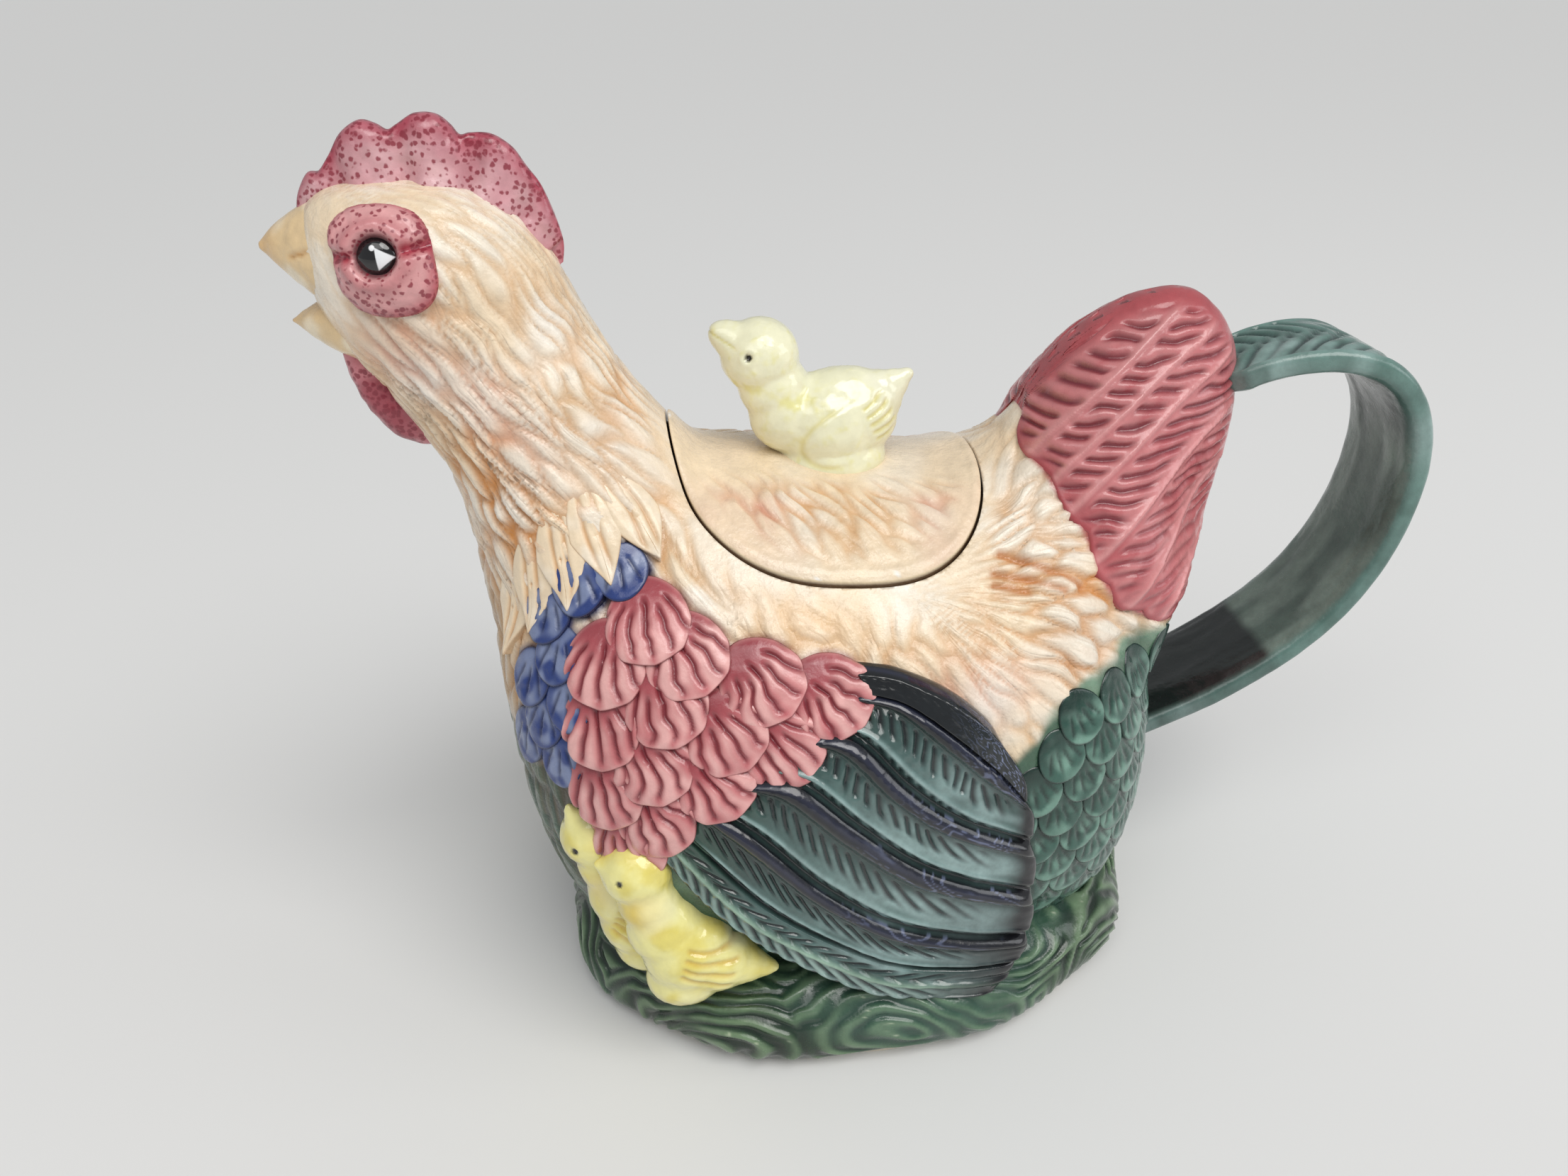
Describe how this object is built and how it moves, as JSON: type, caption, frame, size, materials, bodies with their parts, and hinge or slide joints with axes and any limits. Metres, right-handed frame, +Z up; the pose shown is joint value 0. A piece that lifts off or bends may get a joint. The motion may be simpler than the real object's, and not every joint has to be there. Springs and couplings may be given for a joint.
{
  "type": "figural pitcher",
  "caption": "Hen-shaped covered pitcher with an open pouring beak, a saddle lid with a chick knob, a loop handle behind the tail, raised wing feathers and chicks on a grass mound.",
  "frame": {"origin": "centre of the dry foot, on the table", "axes": "+Z up, -X towards the beak, +X towards the handle, -Y the side with the wing that the picture shows; the outer form is symmetric about the XZ plane"},
  "size_m": [0.2961, 0.1521, 0.2439],
  "materials": {
    "dry_foot": "unglazed pale earthenware",
    "grass_green": "glossy glaze, dark green with light green ridges",
    "cream_plumage": "glossy glaze, cream with orange-brown and pink washes in the grooves",
    "beak_cream": "glossy glaze, cream with tan washes",
    "comb_rose": "glossy glaze, mauve rose with dark red speckles",
    "eye_black": "glossy black glaze with a white painted catchlight",
    "tail_rose": "glossy rose-red glaze, darker in the carved barbs",
    "handle_green": "glossy streaky grey-green glaze with dark green barbs",
    "wing_teal": "glossy grey-teal glaze with navy-black shafts",
    "shoulder_pink": "glossy pink glaze, dark rose in the grooves",
    "breast_blue": "glossy cobalt glaze with grey-white highs",
    "rump_green": "glossy green glaze, dark in the grooves",
    "chick_yellow": "glossy pale yellow glaze",
    "knob_yellow": "glossy pale yellow-white glaze with yellow grooves"
  },
  "bodies": {
    "pitcher": {"foot": "dry_foot", "grass_mound": "grass_green", "body_shell": "cream_plumage", "beak_upper": "beak_cream", "beak_lower": "beak_cream", "comb": "comb_rose", "wattle": "comb_rose", "eye_patch_left": "comb_rose", "eye_patch_right": "comb_rose", "eye_left": "eye_black", "eye_right": "eye_black", "tail": "tail_rose", "handle": "handle_green", "wing_left": "wing_teal", "wing_right": "wing_teal", "shoulder_feathers_left": "shoulder_pink", "shoulder_feathers_right": "shoulder_pink", "breast_feathers_left": "breast_blue", "breast_feathers_right": "breast_blue", "rump_feathers_left": "rump_green", "rump_feathers_right": "rump_green", "front_chick_left": "chick_yellow", "rear_chick_left": "chick_yellow", "front_chick_right": "chick_yellow", "rear_chick_right": "chick_yellow"},
    "lid": {"lid": "cream_plumage", "chick_knob": "knob_yellow"}
  },
  "joints": [
    {"name": "lid_lift", "type": "slide", "parent": "pitcher", "child": "lid", "axis": [0, 0, 1], "range_m": [0, 0.14]}
  ]
}
